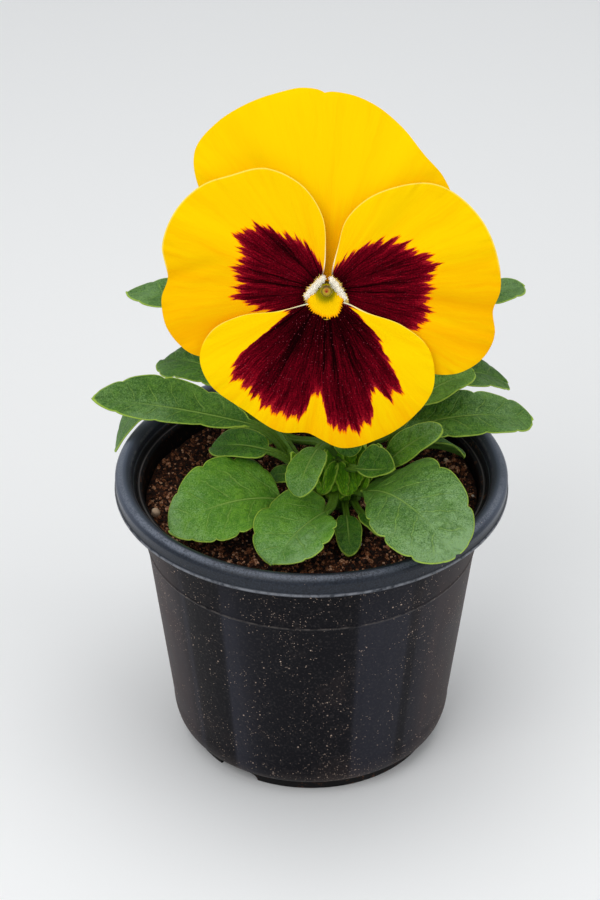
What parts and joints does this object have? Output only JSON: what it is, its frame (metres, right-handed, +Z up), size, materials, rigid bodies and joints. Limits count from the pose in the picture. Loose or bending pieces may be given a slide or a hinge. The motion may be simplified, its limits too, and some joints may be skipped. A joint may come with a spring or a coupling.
{
  "type": "potted pansy",
  "caption": "Flowering pansy with one large yellow bloom with dark blotches and a bush of scalloped leaves, growing in a round black nursery pot.",
  "frame": {"origin": "on the pot's axis, at the flat underside of its foot, where it stands", "axes": "+Z up along the pot's axis; the bloom faces -Y, and +X is to the right when it is looked at from the front"},
  "size_m": [0.1168, 0.105, 0.1889],
  "materials": {
    "pot": "satin",
    "soil": "matte",
    "leaf": "satin",
    "stem": "satin",
    "petal": "matte",
    "blotched_petal": "matte",
    "beard": "matte",
    "stigma": "satin"
  },
  "bodies": {
    "root": {"pot": "pot", "soil": "soil", "stems": "stem", "flower_stalk": "stem", "leaf_left_long": "leaf", "leaf_left_behind": "leaf", "leaf_left_high": "leaf", "leaf_left_over_rim": "leaf", "leaf_left_small": "leaf", "leaf_front_left": "leaf", "leaf_front": "leaf", "leaf_centre_hanging": "leaf", "leaf_centre_curled": "leaf", "leaf_centre_facing": "leaf", "leaf_right_upright": "leaf", "leaf_front_right": "leaf", "leaf_front_small": "leaf", "leaf_front_tucked": "leaf", "leaf_left_tucked": "leaf", "leaf_right_low": "leaf", "leaf_right_long": "leaf", "leaf_right_light": "leaf", "leaf_right_behind": "leaf", "leaf_right_high": "leaf", "leaf_rear": "leaf", "leaf_rear_left": "leaf", "leaf_rear_right": "leaf", "leaf_rear_low_left": "leaf", "leaf_rear_low_right": "leaf", "leaf_rear_low": "leaf", "petal_upper_right": "petal", "petal_upper_left": "petal", "petal_side_left": "blotched_petal", "petal_side_right": "blotched_petal", "petal_lip": "blotched_petal", "calyx": "stem", "stamens": "stigma", "stigma": "stigma", "beard_left": "beard", "beard_right": "beard"}
  },
  "joints": []
}
